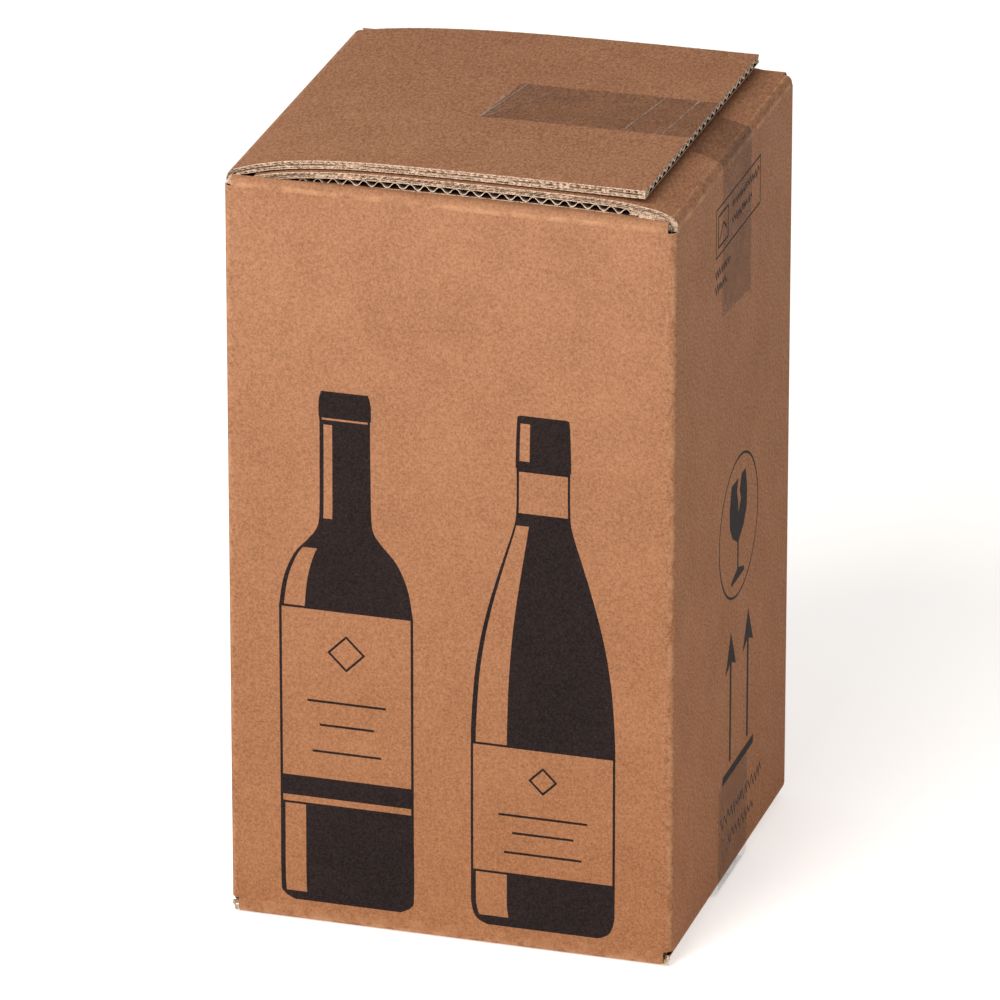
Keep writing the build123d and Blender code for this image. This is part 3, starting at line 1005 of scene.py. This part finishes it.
def ink_material():
    graph = Graph("flexo_ink")
    total, fibres, fine = paper_factor(graph, 0.9, 0.5, 0.3)
    colour = graph.mix(total, INK_DARK, INK_LIGHT)
    thin = graph.span(graph.noise(700, 2.0), 0.66, 0.8, 0.0, 0.3)
    colour = graph.mix(thin, colour, INK_THIN)
    graph.put(graph.shader.inputs["Base Color"], colour)
    graph.put(graph.shader.inputs["Roughness"], graph.span(fine, 0.3, 0.7, 0.62, 0.8))
    graph.shader.inputs["Specular IOR Level"].default_value = 0.1
    graph.bump(graph.math("ADD", fine, fibres), 0.2, 0.0001)
    return graph.material


def edge_material(name, dark, light, shade):
    """Torn or cut paper: pale, with fibres and darker specks."""
    graph = Graph(name)
    coarse = graph.noise(650, 3.0, roughness=0.65)
    fine = graph.noise(2200, 2.0)
    share = graph.math("MULTIPLY_ADD", fine, 0.5, graph.math("MULTIPLY", coarse, 0.6))
    colour = graph.mix(graph.span(share, 0.36, 0.66), dark, light)
    specks = graph.span(graph.noise(1100, 1.0), 0.64, 0.72)
    colour = graph.mix(graph.math("MULTIPLY", specks, shade), colour, FLECK)
    # Painted shade: the value of wear and shade darkens the paper towards near black; in the
    # flutes this value grows with depth.
    colour = graph.mix(graph.worn_and_shaded(), colour, FLUTE_SHADE)
    graph.put(graph.shader.inputs["Base Color"], colour)
    graph.put(graph.shader.inputs["Roughness"], graph.span(coarse, 0.3, 0.7, 0.8, 0.97))
    graph.shader.inputs["Specular IOR Level"].default_value = 0.1
    graph.bump(share, 0.5, 0.0003)
    return graph.material


def void_shade_material():
    """Painted shade for the inside of the board: the faces between the liners, where the
    flutes lie in the dark, are near black.
    """
    graph = Graph("board_hollow_shade")
    cloud = graph.noise(300, 2.0)
    colour = graph.mix(cloud, (0.02, 0.008, 0.005, 1), (0.07, 0.03, 0.018, 1))
    graph.put(graph.shader.inputs["Base Color"], colour)
    graph.put(graph.shader.inputs["Roughness"], graph.span(cloud, 0.3, 0.7, 0.85, 0.95))
    graph.shader.inputs["Specular IOR Level"].default_value = 0.05
    return graph.material


FILM_DARK, FILM_LIGHT = (0.012, 0.008, 0.010, 1), (0.045, 0.034, 0.040, 1)
CREASE_WHITE = (0.75, 0.58, 0.48, 1)


def tape_material():
    """Thin film: wear above 0 is a white crease, and below 0 it is pulled clear."""
    graph = Graph("packing_film")
    cloud = graph.noise(70, 4.0)
    streak = graph.noise(1.0, 2.0, graph.scaled(25, 900, 900))
    tone = graph.math("MULTIPLY_ADD", cloud, 0.6, graph.math("MULTIPLY", streak, 0.4))
    tone = graph.span(tone, 0.35, 0.65)
    colour = graph.mix(tone, FILM_DARK, FILM_LIGHT)
    worn_and_shaded = graph.worn_and_shaded()
    broken = graph.span(graph.noise(350, 2.0), 0.3, 0.6, 0.4, 1.0)
    crease = graph.math("MAXIMUM", worn_and_shaded, 0.0)
    crease = graph.math("MULTIPLY", crease, broken)
    colour = graph.mix(crease, colour, CREASE_WHITE)
    graph.put(graph.shader.inputs["Base Color"], colour)
    graph.put(graph.shader.inputs["Roughness"], graph.span(cloud, 0.3, 0.7, 0.38, 0.5))
    base = graph.span(tone, 0.2, 0.8, 0.085, 0.125)
    clear = graph.math("MINIMUM", worn_and_shaded, 0.0)
    base = graph.math("MULTIPLY", base, graph.math("MULTIPLY_ADD", clear, 0.75, 1.0))
    graph.put(graph.shader.inputs["Alpha"], graph.math("MULTIPLY_ADD", crease, 0.5, base))
    graph.shader.inputs["Specular IOR Level"].default_value = 0.04
    graph.bump(tone, 0.12, 0.0002)
    return graph.material


kraft_dark, kraft_light = (0.195, 0.084, 0.040, 1), (0.395, 0.192, 0.106, 1)
board_materials = [
    kraft("kraft_front", kraft_dark, kraft_light, 0),
    kraft("kraft_side", kraft_dark, kraft_light, 1, grain=0.85),
    kraft("kraft_inside", (0.32, 0.18, 0.10, 1), (0.55, 0.34, 0.21, 1)),
    # Cut paper: a cut edge's real cream and brown, made darker as painted shade of its ragged,
    # shadowed hollows.
    edge_material("cut_paper", (0.13, 0.066, 0.04, 1), (0.62, 0.46, 0.34, 1), 0.75),
    edge_material("flute_paper", (0.42, 0.29, 0.21, 1), (0.94, 0.79, 0.63, 1), 0.3),
    ink_material(),
    void_shade_material(),
]
divider_material = kraft("kraft_divider", (0.30, 0.18, 0.10, 1), (0.52, 0.35, 0.22, 1), 0)
film = tape_material()

# ---- pieces --------------------------------------------------------------------
pieces = {}
pieces["carton_walls"] = walls().piece("carton_walls", board_materials)
pieces["flap_front"] = inner_flap("flap_front", 0, -1, FRONT_FLAP_END, CREASE, KRAFT_X)
pieces["flap_back"] = inner_flap("flap_back", 1, 1, FRONT_EDGE, CREASE + BACK_RISE, KRAFT_X)
pieces["flap_right"] = outer_flap("flap_right", 2, 1, RIGHT_FLAP_END, KRAFT_Y)
pieces["flap_left"] = outer_flap("flap_left", 3, -1, LEFT_FLAP_END, KRAFT_Y)
for name, axis, side, length, kind in (
    ("bottom_flap_left", 0, -1, SIDE_FOLD, KRAFT_Y),
    ("bottom_flap_right", 0, 1, SIDE_FOLD, KRAFT_Y),
    ("bottom_flap_front", 1, -1, CROSS_FOLD, KRAFT_X),
    ("bottom_flap_back", 1, 1, CROSS_FOLD, KRAFT_X),
):
    pieces[name] = bottom_flap(name, axis, side, length, kind)

# scraps at the crushed corners: place, size, turn and tilt
SCRAPS = [
    (93.0, -99.0, 381.2, 3.2, 0.2, 1.1), (96.5, -99.6, 380.4, 3.0, -0.3, 0.8),
    (99.5, -100.2, 379.6, 2.6, 0.5, 1.2), (102.5, -101.0, 378.6, 2.8, -0.1, 0.9),
    (105.5, -102.0, 377.4, 2.2, 0.4, 1.3), (88.5, -98.6, 381.8, 2.4, -0.2, 1.3),
    (-104.5, -101.5, 378.6, 2.6, 0.3, 1.2), (-107.0, -102.2, 376.6, 2.4, -0.5, 1.0),
    (-108.0, -101.2, 5.0, 2.6, 0.7, 1.3), (-106.8, -102.4, 2.6, 2.2, 0.2, 1.1),
    (107.4, -102.0, 4.6, 2.4, -0.6, 1.2), (106.6, -102.6, 2.4, 2.0, 0.1, 1.0),
]
pieces["torn_corners"] = torn_bits("torn_corners", SCRAPS)
for piece in pieces.values():
    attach(piece, "root")
    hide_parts("carton")

for node, made in (("top_tape", top_film()), ("bottom_tape", bottom_film())):
    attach(made, "root")
    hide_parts(node)

for node in ("long_divider", "cross_divider"):
    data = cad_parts[node].data
    data.materials.clear()
    data.materials.append(divider_material)

# ---- stage ---------------------------------------------------------------------
FLOOR_SIZE = 14.0
bpy.ops.mesh.primitive_plane_add(size=FLOOR_SIZE)
floor = bpy.context.object
floor.name = "studio_floor"
floor_look = bpy.data.materials.new("studio_floor")
floor_look.use_nodes = True
floor_shader = floor_look.node_tree.nodes["Principled BSDF"]
floor_shader.inputs["Base Color"].default_value = (0.92, 0.92, 0.92, 1)
floor_shader.inputs["Roughness"].default_value = 0.9
floor_shader.inputs["Emission Color"].default_value = (1, 1, 1, 1)
floor_shader.inputs["Emission Strength"].default_value = 0.5
floor.data.materials.append(floor_look)

world = bpy.data.worlds.new("studio")
world.use_nodes = True
backdrop = world.node_tree.nodes["Background"]
backdrop.inputs["Color"].default_value = (1.0, 0.95, 0.90, 1)
backdrop.inputs["Strength"].default_value = 0.42
bpy.context.scene.world = world

BOX_CENTRE = Vector((0.0, 0.0, 0.19))


def area_light(name, azimuth, elevation, distance, size, watts, colour):
    data = bpy.data.lights.new(name, "AREA")
    data.shape = "DISK"
    data.size = size
    data.energy = watts
    data.color = colour
    light = bpy.data.objects.new(name, data)
    a, e = math.radians(azimuth), math.radians(elevation)
    back = Vector((math.sin(a) * math.cos(e), -math.cos(a) * math.cos(e), math.sin(e)))
    light.location = BOX_CENTRE + back * distance
    light.rotation_euler = back.to_track_quat("Z", "Y").to_euler()
    bpy.context.scene.collection.objects.link(light)


area_light("key", azimuth=-19, elevation=41, distance=1.8, size=1.3, watts=36,
           colour=(1.0, 0.96, 0.91))
area_light("fill", azimuth=70, elevation=45, distance=3.0, size=2.0, watts=4.5,
           colour=(1.0, 0.84, 0.70))

# ---- camera --------------------------------------------------------------------
AZIMUTH, ELEVATION = math.radians(16.78), math.radians(22.97)
DISTANCE = 4.87252
LENS = 365.27
SIDE_STEP, UP_STEP = 0.0059, 0.0026
back = Vector((
    math.sin(AZIMUTH) * math.cos(ELEVATION),
    -math.cos(AZIMUTH) * math.cos(ELEVATION),
    math.sin(ELEVATION),
))
right = Vector((math.cos(AZIMUTH), math.sin(AZIMUTH), 0.0))
up = back.cross(right)
aim = Vector((0.0, 0.0, 0.1895)) - right * SIDE_STEP - up * UP_STEP
camera_data = bpy.data.cameras.new("camera")
camera_data.lens = LENS
camera_data.sensor_width = 36.0
camera_data.clip_end = 50.0
camera = bpy.data.objects.new("camera", camera_data)
camera.location = aim + back * DISTANCE
camera.rotation_euler = back.to_track_quat("Z", "Y").to_euler()
bpy.context.scene.collection.objects.link(camera)
bpy.context.scene.camera = camera
bpy.context.scene.view_settings.view_transform = "Standard"
